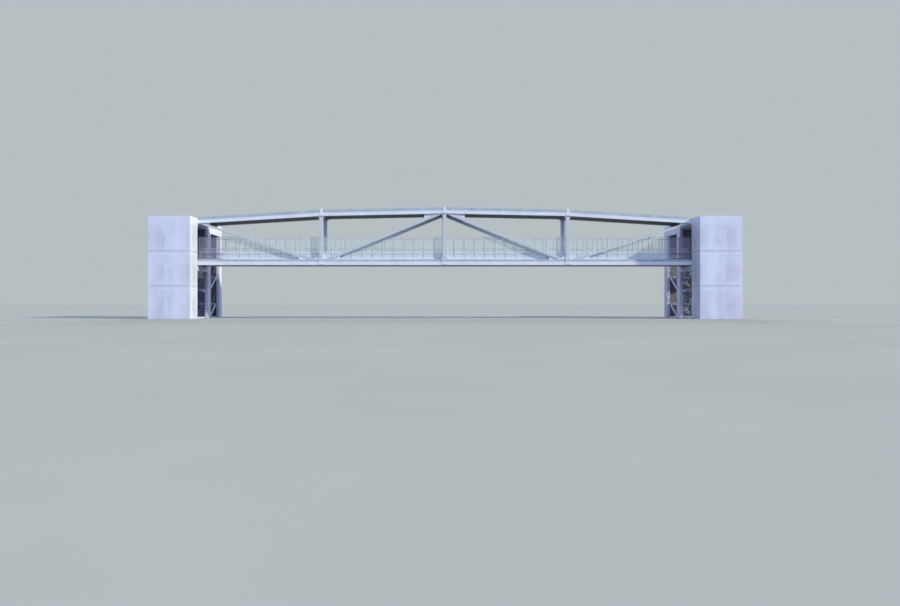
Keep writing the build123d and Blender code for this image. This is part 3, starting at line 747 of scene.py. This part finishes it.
def pane_bead(solid, low, high, face, outward, width, height):
    """A bevelled bead round the edge of a pane, on one of its faces."""
    section = ((0, 0), (0, height), (0.6 * width, height), (width, 0.3 * height), (width, 0))
    corners = (
        (low.x, low.z, 1, 1),
        (high.x, low.z, -1, 1),
        (high.x, high.z, -1, -1),
        (low.x, high.z, 1, -1),
    )
    rings = [
        [
            solid.verts.new((x + across * inset, face + outward * rise, z + up * inset))
            for x, z, across, up in corners
        ]
        for inset, rise in section
    ]
    for ring, following in zip(rings, rings[1:] + rings[:1]):
        for corner in range(4):
            after = (corner + 1) % 4
            solid.faces.new((ring[corner], ring[after], following[after], following[corner]))


def glazing_bead(look):
    """Soft grey gasket, paler on the rear screens as painted light, and dull in the last bays."""
    surface = Surface("glazing_bead", tuple(look.bead_colour), roughness=0.5, shine=0.4)
    wear = surface.graded(surface.noise(14, 4, 0.6), 0.35, 0.7)
    tone = surface.mottled(wear, look.bead_colour, 0.9, 1.1)
    # Painted light: the rear screens' beads are made paler against the canopy's shade.
    tone = surface.blend(rear_side(surface), tone, shade(look.bead_colour, REAR_BEAD_LIGHT))
    surface.colour(surface.blend(last_bays(surface), tone, shade(look.bead_colour, END_METAL)))
    surface.bump((surface.noise(220, 2), 0.0002, 0.4))
    return surface


class BRIDGE_OT_beads(bpy.types.Operator):
    """Glazing beads round the panes and low panels, on both faces"""

    bl_idname = "bridge.beads"
    bl_label = "Glazing beads"

    def execute(self, context):
        look = settings("walkway")
        gasket = glazing_bead(look)
        for truss in TRUSSES:
            solid = bmesh.new()
            for part in ("screen_glass", "low_panels"):
                for low, high in solid_boxes(f"{truss}_{part}"):
                    for face, outward in ((low.y, -1), (high.y, 1)):
                        pane_bead(solid, low, high, face, outward, look.bead, 0.5 * look.bead)
            keep(f"{truss}_glazing_beads", solid, gasket)
        return {"FINISHED"}


def nosing_strip(solid, low, high, climb, width):
    """A ribbed strip let into a tread's top, just behind its edge."""
    edge = low.y if climb > 0 else high.y
    outline = [(NOSING_SETBACK, NOSING_ROOT)]
    for rib in range(NOSING_RIBS):
        start = NOSING_SETBACK + width * rib / NOSING_RIBS
        end = NOSING_SETBACK + width * (rib + RIB_SHARE) / NOSING_RIBS
        outline += [(start, NOSING_GROOVE), (start, NOSING_RIDGE)]
        outline += [(end, NOSING_RIDGE), (end, NOSING_GROOVE)]
    outline += [(NOSING_SETBACK + width, NOSING_GROOVE), (NOSING_SETBACK + width, NOSING_ROOT)]
    ends = [
        [solid.verts.new((x, edge + climb * along, high.z + rise)) for along, rise in outline]
        for x in (low.x + NOSING_MARGIN, high.x - NOSING_MARGIN)
    ]
    for end in ends:
        solid.faces.new(end)
    for corner in range(len(outline)):
        after = (corner + 1) % len(outline)
        solid.faces.new((ends[0][corner], ends[0][after], ends[1][after], ends[1][corner]))


class BRIDGE_OT_stairs(bpy.types.Operator):
    """Concrete treads, and a ribbed strip along each one's edge"""

    bl_idname = "bridge.stairs"
    bl_label = "Stair treads"

    def execute(self, context):
        look = settings("stairs")
        tread, worn = tuple(look.tread), shade(look.tread, 0.6)
        surface, tone = cast_concrete("tread_concrete", tread, worn, grain=1.3)
        surface.colour(tone)
        finish_nodes(surface, [f"{side}_stair_treads" for side in TOWERS])

        strip = Surface("nosing_strip", tuple(look.nosing), roughness=0.8, shine=0.3)
        grit = strip.noise(300, 2, 0.6)
        strip.colour(strip.mottled(strip.graded(grit, 0.4, 0.65), look.nosing, 0.8, 1.5))
        strip.bump((grit, 0.0005, 0.6))
        for side in TOWERS:
            treads = sorted(solid_boxes(f"{side}_stair_treads"), key=lambda box: box[0].z)
            solid = bmesh.new()
            for _, flight in groupby(treads, key=lambda box: round(box[0].x, 2)):
                flight = list(flight)
                climb = 1 if flight[-1][0].y > flight[0][0].y else -1
                for low, high in flight:
                    nosing_strip(solid, low, high, climb, look.nosing_width)
            keep(f"{side}_nosing_strips", solid, strip)
        return {"FINISHED"}


def lay_floor(scene, look):
    """A plain floor, which sends back less light than its colour to the camera would."""
    mesh = bpy.data.meshes.new("floor")
    disc = bmesh.new()
    bmesh.ops.create_circle(disc, cap_ends=True, segments=96, radius=FLOOR_RADIUS)
    disc.to_mesh(mesh)
    disc.free()
    ground = bpy.data.objects.new("floor", mesh)
    ground.location.z = -FLOOR_DROP
    surface = Surface("floor", tuple(look.floor), roughness=1.0, shine=0.0)
    pale = surface.mottled(surface.graded(surface.noise(0.3, 3), 0.3, 0.7), look.floor, 0.98, 1.02)
    path = surface.node("LightPath").outputs
    seen = surface.maths("MAXIMUM", path["Is Camera Ray"], path["Is Glossy Ray"])
    seen = surface.maths("MAXIMUM", seen, path["Is Transmission Ray"])
    surface.colour(surface.blend(seen, look.bounce, pale))
    mesh.materials.append(surface.material)
    scene.collection.objects.link(ground)


def surround(scene, look):
    """The world lights the object evenly, and shows the backdrop to the eye and in reflections."""
    world = bpy.data.worlds.new("surround")
    world.use_nodes = True
    scene.world = world
    nodes, links = world.node_tree.nodes, world.node_tree.links
    nodes.clear()
    light, back = nodes.new("ShaderNodeBackground"), nodes.new("ShaderNodeBackground")
    light.inputs["Color"].default_value = (*SOFT_TINT, 1)
    light.inputs["Strength"].default_value = look.soft
    back.inputs["Color"].default_value = (*look.backdrop, 1)
    path, mix = nodes.new("ShaderNodeLightPath"), nodes.new("ShaderNodeMixShader")
    seen, both = nodes.new("ShaderNodeMath"), nodes.new("ShaderNodeMath")
    seen.operation = both.operation = "MAXIMUM"
    links.new(path.outputs["Is Camera Ray"], seen.inputs[0])
    links.new(path.outputs["Is Glossy Ray"], seen.inputs[1])
    links.new(seen.outputs[0], both.inputs[0])
    links.new(path.outputs["Is Transmission Ray"], both.inputs[1])
    links.new(both.outputs[0], mix.inputs[0])
    links.new(light.outputs[0], mix.inputs[1])
    links.new(back.outputs[0], mix.inputs[2])
    links.new(mix.outputs[0], nodes.new("ShaderNodeOutputWorld").inputs["Surface"])


def hang_lamp(scene, name, strength, direction, tint, spread):
    """A distant lamp that shines from one direction."""
    lamp = bpy.data.lights.new(name, "SUN")
    lamp.energy, lamp.color, lamp.angle = strength, tint, math.radians(spread)
    holder = bpy.data.objects.new(name, lamp)
    holder.rotation_euler = Vector(direction).to_track_quat("Z", "Y").to_euler()
    scene.collection.objects.link(holder)


def stand_camera(scene, look):
    """The camera stands level where the photo's did."""
    camera = bpy.data.cameras.new("camera")
    camera.lens, camera.sensor_width = look.lens, SENSOR_WIDTH
    camera.shift_x, camera.shift_y = (shift / PICTURE_WIDTH for shift in MIDDLE_SHIFT)
    camera.clip_start, camera.clip_end = CLIP_NEAR, CLIP_FAR
    eye = bpy.data.objects.new("camera", camera)
    eye.location = look.eye
    eye.rotation_euler = (math.radians(90), 0, 0)
    scene.collection.objects.link(eye)
    scene.camera = eye


class BRIDGE_OT_stage(bpy.types.Operator):
    """A plain floor, soft light, two lamps and the camera"""

    bl_idname = "bridge.stage"
    bl_label = "Stage"

    def execute(self, context):
        look, scene = settings("stage"), context.scene
        scene.view_settings.view_transform = "Standard"
        lay_floor(scene, look)
        surround(scene, look)
        hang_lamp(scene, "key_light", look.key, KEY_FROM, KEY_TINT, KEY_SPREAD)
        hang_lamp(scene, "back_light", look.back, BACK_FROM, BACK_TINT, BACK_SPREAD)
        stand_camera(scene, look)
        return {"FINISHED"}


OPERATORS = (
    BRIDGE_OT_walls,
    BRIDGE_OT_slabs,
    BRIDGE_OT_steelwork,
    BRIDGE_OT_walkway,
    BRIDGE_OT_screens,
    BRIDGE_OT_beads,
    BRIDGE_OT_stairs,
    BRIDGE_OT_stage,
)

SETTINGS = {
    "towers": TowerSettings,
    "steel": SteelSettings,
    "walkway": WalkwaySettings,
    "stairs": StairSettings,
    "stage": StageSettings,
}


class BRIDGE_PT_panel(bpy.types.Panel):
    """Lists the bridge's pieces and their settings"""

    bl_idname = "BRIDGE_PT_panel"
    bl_label = "Pedestrian bridge"
    bl_space_type = "VIEW_3D"
    bl_region_type = "UI"
    bl_category = "Bridge"

    def draw(self, context):
        for operator in OPERATORS:
            self.layout.operator(operator.bl_idname)
        for name, group in SETTINGS.items():
            box = self.layout.box()
            box.label(text=name.capitalize())
            for key in group.__annotations__:
                box.prop(settings(name), key)


def register():
    for group in SETTINGS.values():
        bpy.utils.register_class(group)
    for operator in OPERATORS:
        bpy.utils.register_class(operator)
    bpy.utils.register_class(BRIDGE_PT_panel)
    for name, group in SETTINGS.items():
        setattr(bpy.types.Scene, "bridge_" + name, PointerProperty(type=group))


def unregister():
    for name in SETTINGS:
        delattr(bpy.types.Scene, "bridge_" + name)
    for made in (BRIDGE_PT_panel, *reversed(OPERATORS), *reversed(SETTINGS.values())):
        bpy.utils.unregister_class(made)


def main():
    register()
    for operator in OPERATORS:
        group, call = operator.bl_idname.split(".")
        getattr(getattr(bpy.ops, group), call)()


if __name__ == "__main__":
    main()
